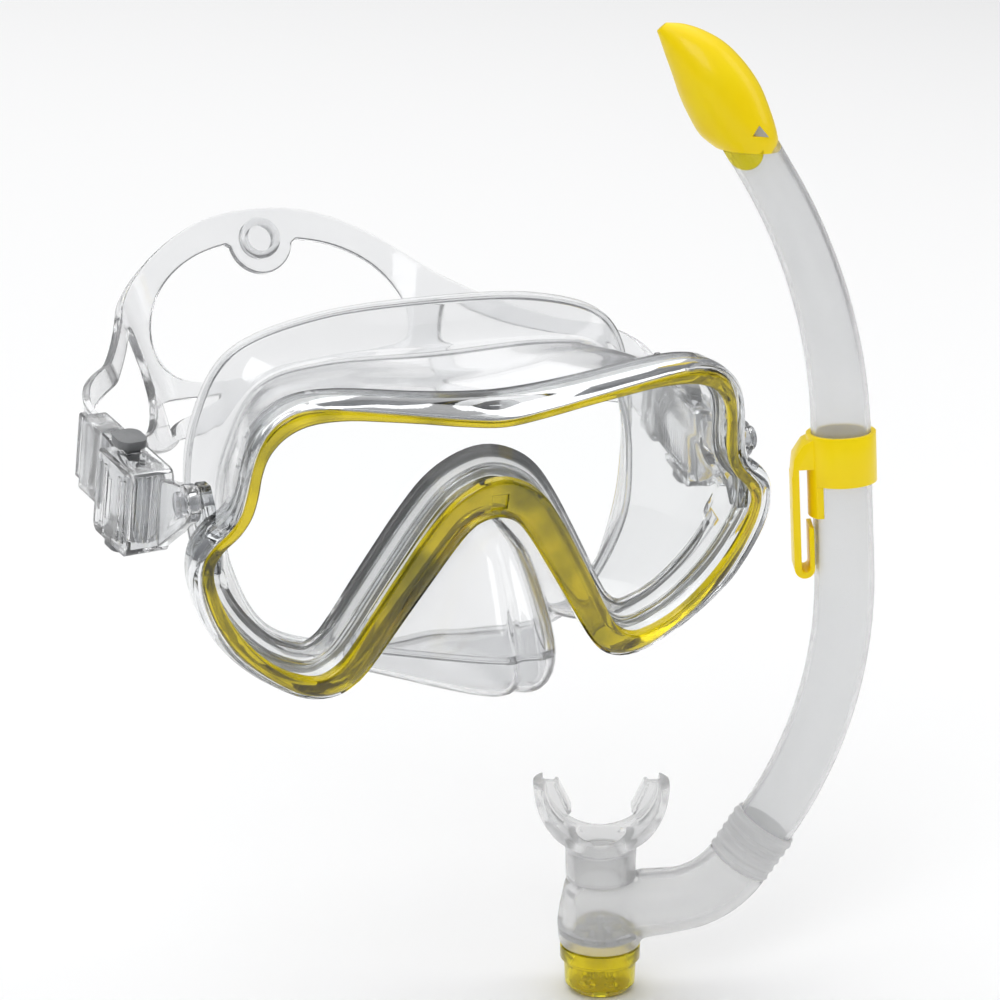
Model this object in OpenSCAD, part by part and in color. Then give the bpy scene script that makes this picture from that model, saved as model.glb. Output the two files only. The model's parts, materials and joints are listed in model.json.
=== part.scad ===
// Diving mask and snorkel set, worn frame:
// X to the wearer's left, Y back toward the face, Z up.
// The origin is the middle of the face seal.

/* [Mask] */
// face seal to the front of the lens, at mid height
lens_front = 52; // [51:0.5:53]
// forward lean of the lens, top edge ahead of the bottom edge
lens_tilt = 13.5; // [13:0.5:14]
// lens thickness
lens_thick = 3.5; // [3:0.1:3.5]
// lens width hidden under the trim ring
lens_lap = 2.5; // [2:0.1:2.5]
// front face of the frame ahead of the lens front
frame_rise = 1.8; // [1:0.1:2.2]
// front face of the trim ring ahead of the lens front
trim_rise = 3.2; // [2.4:0.1:3.6]
// wall of the soft skirt
skirt_wall = 1.8; // [1.4:0.1:2]

/* [Strap] */
// strap thickness
strap_thick = 2.6; // [2.2:0.1:2.8]
// outward lean of the strap wall at its top
strap_lean = 22; // [20:0.5:23]
// height of the strap tails in the buckles
tail_height = 20; // [18:0.5:20]
// hole in the middle of the strap
eyelet_d = 8.8; // [7:0.2:9.6]

/* [Buckles] */
// pin that the buckle swings on
pin_d = 4; // [3:0.1:4.4]
// roller that the strap runs round
roller_d = 4.3; // [3.6:0.1:4.3]
// travel of the release buttons
button_travel = 1.5; // [1:0.1:1.6]

/* [Snorkel] */
// outside of the tube where the keeper grips
tube_d = 19; // [18.6:0.1:19.2]
// outside of the tube at the top
tube_top_d = 16.2; // [15.6:0.1:16.4]
// wall of the tube
tube_wall = 1.5; // [1.2:0.1:1.8]
// height of the keeper ring
keeper_height = 16; // [14:0.5:16]
// slot of the keeper that takes the mask strap
keeper_slot = 2.7; // [2.5:0.1:2.8]
// size of the purge flap
flap_d = 19.6; // [18:0.2:20]
// depth of the mouthpiece shield
shield_depth = 22; // [20:0.5:24]

/* [Hidden] */
$fn = 64;
curve_steps = 2;
gap = 0.3;
run_gap = 0.06;
step = 0.1;

clear_hard = [0.86, 0.89, 0.92, 0.6];
clear_soft = [0.9, 0.93, 0.95, 0.5];
amber = [0.72, 0.66, 0.05];
yellow = [0.98, 0.8, 0.05];
smoke = [0.35, 0.37, 0.4];
frosted = [0.88, 0.9, 0.92];

// ---------- curves ----------

function flip(p) = len(p) == 2 ? [-p[0], p[1]] : [-p[0], p[1], p[2]];

// point on a smooth curve through p1 and p2
function through(p0, p1, p2, p3, t) =
    0.5 * (2 * p1 + (p2 - p0) * t + (2 * p0 - 5 * p1 + 4 * p2 - p3) * t * t
    + (3 * p1 - p0 - 3 * p2 + p3) * t * t * t);

// smooth half of a curve that is the same on both sides of the middle plane
function smooth_half(c, n) =
    let (m = len(c) - 1, e = concat([flip(c[1])], c, [flip(c[m - 1])]))
    concat([for (i = [0:m - 1]) for (k = [0:n - 1])
        through(e[i], e[i + 1], e[i + 2], e[i + 3], k / n)], [c[m]]);

function both_halves(h) = concat(h, [for (i = [len(h) - 2:-1:1]) flip(h[i])]);

function outline(c) = both_halves(smooth_half(c, curve_steps));

// closed outline grown outward by d, one value or one per point
function grown(p, d) =
    let (n = len(p))
    [for (i = [0:n - 1])
        let (a = p[(i + n - 1) % n], b = p[(i + 1) % n], t = (b - a) / norm(b - a),
             g = is_list(d) ? d[i] : d)
        p[i] + g * [t[1], -t[0]]];

// ---------- mask outlines, x and height on the lens plane, half of each ----------

// edge of the lens that shows: nose arch, lower lobe, side notch, brow
opening_half = [
    [0, 17.3], [7.5, 15.3], [14.3, 10.3], [20.7, 1.5], [27, -9], [33, -19.5],
    [38.3, -29], [42.7, -35.3], [48.5, -38.5], [55, -37], [62, -33], [69, -26.5],
    [75, -18.5], [79.8, -9], [81.8, -1], [79.8, 4.2], [75, 9], [72, 14],
    [70.6, 20], [69.8, 27], [67.8, 33], [63.5, 37.7], [57, 40], [47, 39.9],
    [36, 38.3], [24, 36.3], [12, 34.1], [0, 32.7]];

// outer edge of the clear frame
frame_half = [
    [0, 5.5], [6.5, 3.3], [12, -3.5], [17.5, -12], [23, -20.5], [29, -30],
    [35, -39.3], [39.8, -44.3], [46, -46.3], [53, -44.8], [60, -40.9], [66.5, -36.6],
    [73, -31.1], [78.5, -25.2], [83.2, -18], [86.6, -10], [88.3, -2], [87.8, 5],
    [85.5, 9.3], [81, 12.3], [77.8, 15], [76, 20], [75.2, 26], [74, 33],
    [71.3, 39.5], [66.8, 43.8], [60.5, 46.4], [52, 47], [40, 45.8], [28, 43.9],
    [14, 42.2], [0, 41.4]];

// outer edge of the trim ring, meets the frame edge along the nose arch
trim_half = [
    [0, 5.7], [6.5, 3.5], [12, -3.3], [17.5, -11.8], [23, -20.3], [29, -29.8],
    [35, -39.1], [39.8, -44.1], [46, -45.9], [53, -43.9], [60, -39.6], [67, -34.2],
    [74, -27.2], [79.3, -19], [83.5, -9], [85.2, -1], [84, 5], [79, 9],
    [75.3, 14], [73.9, 20], [73.1, 26], [71.8, 33], [69, 39.3], [64.8, 43.2],
    [58, 44.4], [48, 42.9], [36, 40.7], [24, 38.4], [12, 36.2], [0, 34.7]];

opening = outline(opening_half);
frame_edge = outline(frame_half);
trim_edge = outline(trim_half);

function on_lens(p, z) =
    [p[0], -lens_front - p[1] * sin(lens_tilt) - z * cos(lens_tilt),
     p[1] * cos(lens_tilt) - z * sin(lens_tilt)];

// local x across, y up the lens, z forward from the lens front
module lens_space() {
    translate([0, -lens_front, 0])
        rotate([90 + lens_tilt, 0, 0])
            children();
}

module slab(p, z0, z1) {
    translate([0, 0, z0])
        linear_extrude(z1 - z0)
            polygon(p);
}

// ---------- closed shells from rows of points ----------

function ring_faces(a, b, n) =
    [for (j = [0:n - 1]) for (f = [[a + j, b + (j + 1) % n, a + (j + 1) % n],
                                   [a + j, b + j, b + (j + 1) % n]]) f];

// rows of points that close on themselves both ways
module shell(rows) {
    n = len(rows[0]);
    m = len(rows);
    polyhedron(points = [for (r = rows) for (p = r) p],
               faces = [for (i = [0:m - 1]) for (f = ring_faces(i * n, ((i + 1) % m) * n, n)) f],
               convexity = 10);
}

// rows of points with a flat end at the first and the last row
module skin(rows) {
    n = len(rows[0]);
    m = len(rows);
    sides = [for (i = [0:m - 2]) for (f = ring_faces(i * n, (i + 1) * n, n)) f];
    first = [[for (j = [0:n - 1]) j]];
    last = [[for (j = [n - 1:-1:0]) (m - 1) * n + j]];
    polyhedron(points = [for (r = rows) for (p = r) p],
               faces = concat(sides, first, last), convexity = 6);
}

// rows with k - 1 smooth rows added between each pair
function filled(rows, k) =
    let (m = len(rows))
    concat([for (i = [0:m - 2]) for (s = [0:k - 1])
        [for (j = [0:len(rows[0]) - 1])
            through(rows[max(i - 1, 0)][j], rows[i][j], rows[i + 1][j],
                    rows[min(i + 2, m - 1)][j], s / k)]], [rows[m - 1]]);

// rows moved inward by d
function inset_rows(rows, d) =
    let (m = len(rows), n = len(rows[0]))
    [for (i = [0:m - 1]) [for (j = [0:n - 1])
        let (a = rows[min(i + 1, m - 1)][j] - rows[max(i - 1, 0)][j],
             b = rows[i][(j + 1) % n] - rows[i][(j + n - 1) % n],
             q = cross(a, b))
        rows[i][j] + d * q / norm(q)]];

// ---------- mask, hard parts ----------

lip_back = -5.75;
lip_front = -lens_thick - 0.15;
frame_back = -8.2;
flange_front = -5.9;

module lens() {
    color(clear_hard)
        lens_space()
            slab(grown(opening, lens_lap), -lens_thick, 0);
}

pin_y = -41;
pin_z = 15;
lug_x = 78.6;
lug_thick = 3.4;
// buckle arm plate and the head of its pin, outside the ear
arm_x = 82.4;
arm_thick = 3.2;
pin_head_x = 86;

module across(x) {
    translate([x, pin_y, pin_z])
        rotate([0, 90, 0])
            children();
}

module mirrored(side) {
    mirror([side < 0 ? 1 : 0, 0, 0])
        children();
}

// ear on the back of the frame that holds the buckle pin
module frame_lug() {
    translate([lug_x, 0, 0])
        rotate([90, 0, 90])
            linear_extrude(lug_thick)
                polygon([[-50, -3], [-44.4, -3], [-38, 9], [-36.2, 14],
                         [-39.5, 20.5], [-43.5, 20.2], [-46, 16.5], [-50.6, 10]]);
}

module frame() {
    color(clear_hard)
        difference() {
            union() {
                lens_space() {
                    slab(frame_edge, -3.2, frame_rise);
                    slab(grown(frame_edge, -0.8), frame_back, -3.2);
                }
                for (side = [-1, 1])
                    mirrored(side)
                        frame_lug();
            }
            lens_space() {
                slab(grown(opening, -gap), -20, 12);
                slab(grown(opening, lens_lap + 0.2), flange_front, 12);
                slab(grown(trim_edge, 0.25), 0, 12);
            }
            for (side = [-1, 1])
                mirrored(side)
                    across(lug_x - 1)
                        cylinder(d = pin_d, h = lug_thick + 2);
        }
}

module trim_ring() {
    color(amber)
        lens_space()
            difference() {
                slab(trim_edge, 0.1, trim_rise);
                slab(opening, -1, trim_rise + 1);
            }
}

// ---------- skirt ----------

// wall just behind the frame, set in from the lens edge below the notch
collar_inset = [for (i = [0:54]) i < 30 ? -4.2 : i < 38 ? -4.2 + 3 * (i - 30) / 8 : -1.2];

wall_front = [
    [0, -43.5, 6], [10.5, -39.5, -4], [33, -32, -31], [53, -30.5, -34], [71, -35, -16],
    [73.5, -38, 4], [67, -37, 21], [61, -36, 36.5], [35, -36, 40], [0, -36, 37.5]];
wall_middle = [
    [0, -57, -3], [8.5, -55, -8], [30, -27, -33], [52, -21, -33], [66, -24, -15],
    [68.5, -25, 5], [65, -26, 22], [57, -25, 37], [35, -26, 41], [0, -26, 39]];
wall_back = [
    [0, -71, -31], [9.5, -69, -31], [31, -22, -37.5], [51, -10, -33], [62, -10, -14],
    [64, -10, 5], [61, -11, 22], [52, -13, 37.5], [33, -14, 42], [0, -15, 42]];
seal_root = [
    [0, -60, -42], [9.5, -57, -42.5], [35, -11, -42], [52, -3, -34], [63, -2, -14],
    [65, -2, 6], [62.5, -4, 24], [54, -8, 40.5], [33, -10, 45.5], [0, -10, 46.5]];
seal_edge = [
    [0, -11, -41.5], [14, -9.5, -43], [40, -2, -45], [56, 1, -36.5], [66, 3, -15],
    [69, 3, 6], [67.5, 0, 27], [58, -4, 46], [34, -8, 55], [0, -9, 57]];

function skirt_row(c) = both_halves(smooth_half(c, 3 * curve_steps));

collar_row = grown(opening, concat(collar_inset, [for (i = [53:-1:1]) collar_inset[i]]));

module skirt() {
    wall = filled([[for (p = collar_row) on_lens(p, -12)], skirt_row(wall_front),
        skirt_row(wall_middle), skirt_row(wall_back), skirt_row(seal_root),
        skirt_row(seal_edge)], 2);
    inner = inset_rows(wall, skirt_wall);
    m = len(inner);
    color(clear_soft)
        shell(concat(
            wall,
            [for (i = [m - 1:-1:0]) inner[i]],
            [[for (p = grown(opening, -0.9 - skirt_wall)) on_lens(p, frame_back)],
             [for (p = grown(opening, -0.9 - skirt_wall)) on_lens(p, lip_front)],
             [for (p = grown(opening, 2.3)) on_lens(p, lip_front)],
             [for (p = grown(opening, 2.3)) on_lens(p, lip_back)],
             [for (p = grown(opening, -0.9)) on_lens(p, lip_back)],
             [for (p = grown(opening, -1.1)) on_lens(p, frame_back - 0.4)]]));
}

// ---------- buckles ----------

buckle = [88, -8, 9];
buckle_turn = 8;
buckle_rise = 12;
housing_half = 12.6;
plate_in = 10.6;
roller_y = -3;
loop_in = roller_d / 2 + 0.35;
loop_out = loop_in + strap_thick - 0.2;

// local x outward, y back along the strap, z up
module buckle_space() {
    translate(buckle)
        rotate([0, 0, -buckle_turn])
            rotate([buckle_rise, 0, 0])
                children();
}

module rounded(w, h, r) {
    square([w - 2 * r, h], center = true);
    square([w, h - 2 * r], center = true);
    for (i = [-1, 1])
        for (j = [-1, 1])
            translate([i * (w / 2 - r), j * (h / 2 - r)])
                circle(r);
}

module block(lo, hi) {
    translate(lo)
        cube(hi - lo);
}

module pivot_pin(side) {
    color(smoke)
        mirrored(side) {
            across(lug_x)
                cylinder(d = pin_d, h = pin_head_x + 0.6 - lug_x);
            across(pin_head_x)
                cylinder(d = pin_d + 3.2, h = 1.6);
        }
}

module buckle_arm(side) {
    color(clear_hard)
        mirrored(side)
            difference() {
                union() {
                    across(arm_x)
                        cylinder(r = 5.4, h = arm_thick);
                    translate([arm_x, 0, 0])
                        rotate([90, 0, 90])
                            linear_extrude(arm_thick)
                                polygon([[-43, 10.1], [-18.2, -3], [-14.6, 0.2],
                                         [-17.2, 13.5], [-22.8, 17.4], [-38, 19.4]]);
                }
                across(80)
                    cylinder(d = pin_d + 2 * run_gap, h = 10);
                buckle_space()
                    block([-12, -11.2, -20], [12, 30, 20]);
            }
}

module buckle_housing(side) {
    color(clear_hard)
        mirrored(side)
            buckle_space()
                difference() {
                    union() {
                        translate([-5.4, -0.5, 0])
                            rotate([90, 0, 90])
                                linear_extrude(12.8)
                                    rounded(21, 2 * housing_half, 2.5);
                        for (y = [-7.6, -4.4, 4.2, 7.4])
                            block([7, y - 0.7, -9.5], [8, y + 0.7, 9.5]);
                    }
                    block([-8, -8.8, -plate_in], [5.6, 30, plate_in]);
                    for (s = [-1, 1])
                        translate([0, roller_y, s * 11.2 - 0.9])
                            cylinder(d = 2.5, h = 1.8);
                    block([-2.4, 2.4, -20], [2.4, 7.6, 20]);
                    block([5, 1.2, -6], [9, 2.6, 6]);
                }
}

module strap_roller(side) {
    color(smoke)
        mirrored(side)
            buckle_space()
                translate([0, roller_y, 0]) {
                    cylinder(d = roller_d, h = 20.4, center = true);
                    cylinder(d = 2.4, h = 23.4, center = true);
                }
}

module release_button(side, up) {
    pad = housing_half + button_travel + gap;
    color(smoke)
        mirrored(side)
            buckle_space()
                mirror([0, 0, up < 0 ? 1 : 0]) {
                    translate([0.6, 5, pad])
                        linear_extrude(2.4)
                            rounded(8.6, 9, 3);
                    block([-2, 2.8, 8.4], [2, 7.2, pad + 0.2]);
                }
}

module strap_keeper(side) {
    color(clear_soft)
        mirrored(side)
            buckle_space()
                translate([-2.35, 31, 0])
                    rotate([90, 0, 0])
                        linear_extrude(10)
                            difference() {
                                rounded(8.4, tail_height + 3.6, 2);
                                square([5.8, tail_height + 0.8], center = true);
                            }
}

// ---------- strap ----------

strap_ref = 33;
back_r = 140;
back_y = 117;
back_turn = 16.2;
corner_r = 24;
side_turn = 64.5;
side_run = 84;
corner = [(back_r - corner_r) * sin(back_turn),
          back_y - back_r + (back_r - corner_r) * cos(back_turn)];
side_start = corner + corner_r * [sin(side_turn), cos(side_turn)];
eyelet_z = 52;
tab_r = 10.6;

// stations of the wall from the middle of the back to one buckle: x, y, outward angle from +Y
function wall_path() = concat(
    [for (k = [0:5]) let (a = back_turn * k / 5)
        [back_r * sin(a), back_y - back_r + back_r * cos(a), a]],
    [for (k = [1:8]) let (a = back_turn + (side_turn - back_turn) * k / 8)
        [corner[0] + corner_r * sin(a), corner[1] + corner_r * cos(a), a]],
    [[side_start[0] + side_run * cos(side_turn), side_start[1] - side_run * sin(side_turn),
      side_turn]]);

// leaning wall section at a station
function wall_section(s) =
    let (low = -8, high = 66, k = tan(strap_lean), half = strap_thick / 2 / cos(strap_lean),
         n = [sin(s[2]), cos(s[2])])
    [for (c = [[low, 1], [high, 1], [high, -1], [low, -1]])
        let (q = (c[0] - strap_ref) * k + c[1] * half)
        [s[0] + q * n[0], s[1] + q * n[1], c[0]]];

module strap_wall() {
    half = wall_path();
    m = len(half) - 1;
    skin([for (i = [-m:m]) wall_section(i < 0 ? [-half[-i][0], half[-i][1], -half[-i][2]] : half[i])]);
}

upper_edge = [
    [0, 61], [11, 60.4], [22, 58], [34, 52.8], [44, 46.5], [54, 39.5], [62, 35.5],
    [72, 33], [84, 32.6], [97, 33]];
lower_edge = [
    [97, 12.5], [84, 11.5], [70, 8], [58, 2], [48, -2], [38, -3.6], [20, -3.4], [0, -3]];
window_half = [
    [0, 10], [15, 10.4], [28, 11.6], [37, 14.8], [42.3, 20.5], [43.6, 28],
    [40.5, 36], [34, 43], [24, 48.3], [12, 51], [0, 51.6]];
side_window = [
    [53.8, 32.5], [51, 26], [49.6, 19], [50, 12.5], [54, 8.6], [61, 8.4], [71, 12.6],
    [79, 19], [81.4, 23.4], [76, 26], [66, 28], [58, 30.4]];
low_window = [[45.5, 8.3], [45.2, 0.2], [43, -0.4], [34, 2.4], [21, 5.6], [21, 6.8], [34, 7.6]];

module from_behind(y0, y1) {
    translate([0, y1, 0])
        rotate([90, 0, 0])
            linear_extrude(y1 - y0)
                children();
}

module strap_band() {
    difference() {
        intersection() {
            strap_wall();
            from_behind(24.6, 160)
                polygon(concat(upper_edge, lower_edge,
                    [for (i = [len(lower_edge) - 2:-1:0]) flip(lower_edge[i])],
                    [for (i = [len(upper_edge) - 1:-1:1]) flip(upper_edge[i])]));
        }
        from_behind(60, 160)
            difference() {
                polygon(both_halves(smooth_half(window_half, 3)));
                translate([0, eyelet_z])
                    circle(tab_r);
            }
        for (side = [-1, 1])
            mirrored(side)
                from_behind(26, 160) {
                    polygon(side_window);
                    polygon(low_window);
                }
    }
}

// strap round the roller and back through the keeper, local x and y
module strap_tail() {
    t = loop_out - loop_in;
    union() {
        translate([-loop_out, roller_y])
            square([t, 36]);
        difference() {
            translate([0, roller_y])
                circle(loop_out);
            translate([0, roller_y])
                circle(loop_in);
            translate([-10, roller_y])
                square([20, 20]);
        }
        polygon([[loop_in, roller_y], [loop_out, roller_y], [loop_out, 8],
                 [-loop_in + t + 0.3, 20.5], [-loop_in + t + 0.3, 37],
                 [-loop_in + 0.3, 37], [-loop_in + 0.3, 20.5], [loop_in, 7.2]]);
        for (y = [0:1.9:17])
            translate([-loop_out - 0.4, y])
                square([0.6, 0.9]);
        for (a = [200:20:340])
            translate([0, roller_y])
                rotate(a)
                    translate([loop_out - 0.2, -0.45])
                        square([0.6, 0.9]);
    }
}

module strap() {
    at = [0, back_y + (eyelet_z - strap_ref) * tan(strap_lean), eyelet_z];
    color(clear_soft)
        difference() {
            union() {
                strap_band();
                translate(at)
                    rotate([-90 - strap_lean, 0, 0])
                        cylinder(d = eyelet_d + 4.4, h = strap_thick + 1.6, center = true);
                for (side = [-1, 1])
                    mirrored(side) {
                        buckle_space()
                            linear_extrude(tail_height, center = true)
                                strap_tail();
                        hull() {
                            buckle_space()
                                block([-loop_out - step, 31.5, -tail_height / 2 - step],
                                      [-loop_in + step, 33.8, tail_height / 2 + step]);
                            intersection() {
                                strap_wall();
                                block([60, 24, 12.2], [110, 25.2, 32.8]);
                            }
                        }
                    }
            }
            translate(at)
                rotate([-90 - strap_lean, 0, 0])
                    cylinder(d = eyelet_d, h = 30, center = true);
        }
}

// ---------- snorkel ----------

snorkel_at = [157.4, 23.5, 0];
snorkel_turn = 25;
tube_r = tube_d / 2;
tube_low_r = 9.6;
top_bend_r = 175;
top_turn = 28;
low_bend_r = 145;
low_turn = 36;
straight_half = 23;
spigot = 9;
elbow_turn = 50;
elbow_bend_r = 29.8;
chamber_at = [-75.5, -179];

// local x across, y up, z toward the front of the mask
module snorkel_space() {
    translate(snorkel_at)
        rotate([90, 0, -snorkel_turn])
            children();
}

// y along the straight of the tube
module tube_space() {
    snorkel_space()
        translate([0.4, -27, 0])
            rotate([0, 0, 3])
                children();
}

// end of the upper bend
module top_space() {
    tube_space()
        translate([top_bend_r * (cos(top_turn) - 1), straight_half + top_bend_r * sin(top_turn), 0])
            rotate([0, 0, top_turn])
                children();
}

// end of the lower bend
module low_space() {
    tube_space()
        translate([low_bend_r * (cos(low_turn) - 1), -straight_half - low_bend_r * sin(low_turn), 0])
            rotate([0, 0, -low_turn])
                children();
}

module chamber_space() {
    snorkel_space()
        translate([chamber_at[0], chamber_at[1], 0])
            children();
}

module upright(r1, r2, y0, y1) {
    translate([0, y0, 0])
        rotate([-90, 0, 0])
            cylinder(r1 = r1, r2 = r2, h = y1 - y0);
}

// ring of the upper bend at a share t of the turn
function bend_ring(t, wall) =
    let (a = top_turn * t, r = tube_r - step + (tube_top_d / 2 - tube_r) * t - wall)
    [for (j = [0:35])
        [-top_bend_r + (top_bend_r + r * cos(10 * j)) * cos(a),
         straight_half + (top_bend_r + r * cos(10 * j)) * sin(a),
         -r * sin(10 * j)]];

module snorkel_tube() {
    steps = 12;
    color(clear_hard)
        difference() {
            union() {
                tube_space() {
                    upright(tube_r, tube_r, -straight_half - 1, straight_half + 0.8);
                    skin([for (i = [0:steps]) bend_ring(i / steps, 0)]);
                    translate([-low_bend_r, -straight_half, 0])
                        rotate([0, 0, -low_turn])
                            rotate_extrude(angle = low_turn, $fn = 160)
                                translate([low_bend_r, 0])
                                    circle(tube_low_r);
                }
                top_space()
                    upright(tube_top_d / 2, tube_top_d / 2, -0.8, 14);
                low_space()
                    upright(tube_low_r + step, tube_low_r + step, -spigot, 0.8);
            }
            tube_space() {
                upright(tube_r - tube_wall, tube_r - tube_wall, -straight_half - 1, straight_half + 0.8);
                skin([for (i = [0:steps]) bend_ring(i / steps, tube_wall)]);
                translate([-low_bend_r, -straight_half, 0])
                    rotate([0, 0, -low_turn])
                        rotate_extrude(angle = low_turn, $fn = 160)
                            translate([low_bend_r, 0])
                                circle(tube_low_r - tube_wall);
            }
            top_space()
                upright(tube_top_d / 2 - tube_wall, tube_top_d / 2 - tube_wall, -0.8, 15);
            low_space()
                upright(tube_low_r - tube_wall + step, tube_low_r - tube_wall + step, -spigot - 1, 0.8);
        }
}

// rings of the cap: left point, right point, half depth
cap_rings = [
    [[-42.2, 85.6], [-22.6, 84.3], 10.2], [[-47, 89.5], [-22.7, 88.5], 11.4],
    [[-50.6, 95.5], [-24.6, 95.2], 12], [[-53.2, 101], [-28.4, 104.4], 11.8],
    [[-54.8, 105.5], [-33.5, 111.8], 11], [[-56.4, 110], [-39.4, 117.6], 9.2],
    [[-58, 114.2], [-46, 121.4], 7], [[-59.3, 118], [-52.2, 123.4], 4.4],
    [[-60.5, 121.2], [-57.6, 123.8], 1.6]];

function cap_ring(c, t) =
    let (m = (c[0] + c[1]) / 2, h = (c[1] - c[0]) / 2, k = 1 - t / norm(h), w = c[2] - t)
    [for (j = [0:27])
        let (a = 360 * j / 28)
        [m[0] + k * h[0] * cos(a), m[1] + k * h[1] * cos(a), -w * sin(a)]];

module splash_cap() {
    color(yellow)
        difference() {
            union() {
                snorkel_space()
                    skin(filled([for (c = cap_rings) cap_ring(c, 0)], 2));
                top_space()
                    intersection() {
                        upright(tube_top_d / 2 + 1.6, tube_top_d / 2 + 2.2, 2, 15);
                        translate([-2.5, 11, 9])
                            cylinder(r = 5.6, h = 14, center = true);
                    }
            }
            snorkel_space()
                skin(filled([for (i = [2:6]) cap_ring(cap_rings[i], 2)], 2));
            top_space() {
                upright(tube_top_d / 2 + run_gap, tube_top_d / 2 + run_gap, -12, 14.2);
                upright(7.4, 7.4, 10, 26);
                translate([-10.5, 24, 0])
                    cube([12, 5, 13], center = true);
            }
        }
}

module snorkel_keeper() {
    leg = -tube_r - gap - 1.5;
    finger = leg - keeper_slot;
    color(yellow)
        tube_space()
            difference() {
                union() {
                    upright(tube_r + 1.6, tube_r + 1.6, 22 - keeper_height, 22);
                    intersection() {
                        upright(tube_r + 1.6, tube_r + 1.6, -4.6, 8);
                        block([-14, -5, -7], [-5, 9, 7]);
                    }
                    translate([0, 0, -6])
                        linear_extrude(12) {
                            polygon([[finger - 2.3, 8], [finger - 1.4, 15], [finger + 1.6, 19.4],
                                     [-8, 21.6], [-6, 21.6], [-6, 11.4], [finger, 11.4], [finger, 8]]);
                            translate([finger - 2.3, -21])
                                square([2.3, 30]);
                            translate([leg, -21])
                                square([1.5, 13.2]);
                            difference() {
                                translate([(finger - 2.3 + leg + 1.5) / 2, -21])
                                    circle((keeper_slot + 3.8) / 2);
                                translate([-30, -21])
                                    square([40, 20]);
                                translate([finger + keeper_slot / 2, -21])
                                    circle(keeper_slot / 2);
                            }
                        }
                }
                upright(tube_r + run_gap, tube_r + run_gap, -10, 30);
            }
}

module ribbed_cuff() {
    color(frosted)
        low_space()
            difference() {
                union() {
                    upright(10.6, 11.6, -16.5, 0);
                    for (k = [0:4])
                        translate([0, -15.6 + 3.3 * k, 0])
                            rotate([-90, 0, 0])
                                cylinder(r = 11.1 + 0.25 * k, h = 1.9);
                }
                upright(tube_low_r + step + run_gap, tube_low_r + step + run_gap, -9.4, 1);
                upright(9.2, 9.2, -18, -9);
            }
}

module bend(r, bend_r) {
    translate([-elbow_bend_r, -16.5, 0])
        rotate([0, 0, -elbow_turn])
            rotate_extrude(angle = elbow_turn, $fn = 120)
                translate([bend_r, 0])
                    circle(r);
}

// after the elbow bend, y back along the pipe
module pipe_space() {
    low_space()
        translate([elbow_bend_r * (cos(elbow_turn) - 1), -16.5 - elbow_bend_r * sin(elbow_turn), 0])
            rotate([0, 0, -elbow_turn])
                children();
}

chamber_shape = [[0, 0], [13, 0], [13.8, 2.6], [14.2, 8], [13.4, 14], [12.3, 19], [11.6, 22.8],
                 [9.6, 22.8], [9.6, 33], [0, 33]];

module elbow() {
    color(frosted)
        difference() {
            union() {
                low_space() {
                    upright(9.15, 9.15, -17.5, -9.6);
                    bend(10.6, elbow_bend_r);
                }
                difference() {
                    pipe_space()
                        upright(12.2, 10.7, -24, 0.8);
                    chamber_space()
                        upright(12.7, 12.7, 22.7, 40);
                }
                chamber_space()
                    rotate([-90, 0, 0])
                        rotate_extrude()
                            polygon(chamber_shape);
            }
            low_space() {
                upright(7.6, 7.6, -17.5, -8);
                bend(8.2, elbow_bend_r);
            }
            pipe_space()
                upright(9, 8.3, -24, 0.8);
            chamber_space() {
                upright(8, 8, 17, 34);
                upright(9.4, 9.4, 4, 18);
                upright(11.6, 11.6, -1, 5.7);
            }
        }
}

module mouthpiece() {
    rise = 56.7;
    color(frosted)
        chamber_space()
            difference() {
                union() {
                    upright(11.4, 11.8, 23, 37);
                    intersection() {
                        translate([0, rise, -shield_depth / 2])
                            linear_extrude(shield_depth)
                                difference() {
                                    circle(22.3);
                                    circle(18.9);
                                    translate([-30, 0])
                                        square([60, 30]);
                                }
                        translate([0, 20, 0])
                            rotate([-90, 0, 0])
                                linear_extrude(45)
                                    rounded(44.6, shield_depth, 9);
                    }
                    for (side = [-1, 1])
                        mirrored(side) {
                            translate([0, rise, -2])
                                linear_extrude(4)
                                    polygon([[20, 0.4], [14, 0], [9.6, -9.2], [12.6, -14.2],
                                             [17, -10.5], [20.2, -6]]);
                            translate([0, rise, -4.6])
                                linear_extrude(9.2)
                                    polygon([[15.4, 0.2], [14, 0], [9.6, -9.2], [10.8, -10.6]]);
                        }
                }
                upright(9.6 + run_gap, 9.6 + run_gap, 22, 33.2);
                upright(8, 8, 33, 45);
            }
}

module purge_seat() {
    color(smoke)
        chamber_space()
            difference() {
                upright(11.55, 11.55, 3.4, 5.4);
                upright(1.3, 1.3, 0, 8);
                for (k = [0:5])
                    rotate([0, 60 * k, 0])
                        translate([5.6, 0, 0])
                            upright(2.1, 2.1, 0, 8);
            }
}

module purge_flap() {
    color(clear_soft)
        chamber_space() {
            upright(flap_d / 2, flap_d / 2, 2.2, 2.9);
            upright(1, 1, 2.2, 8);
            upright(1.9, 1.2, 7.2, 9);
        }
}

module purge_cap() {
    color(amber)
        chamber_space()
            difference() {
                union() {
                    upright(11.5, 11.5, -1, 3.1);
                    upright(13.2, 13.2, -4.3, -0.1);
                    upright(11.6, 12, -13, -4.3);
                    upright(9.6, 11.6, -15.2, -13);
                }
                upright(10.6, 10.6, -6, 4);
                upright(10.1, 10.4, -13, -5.9);
                for (k = [0:3])
                    rotate([0, 45 + 90 * k, 0])
                        translate([5.4, 0, 0])
                            upright(2.3, 2.3, -20, 0);
            }
}

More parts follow.
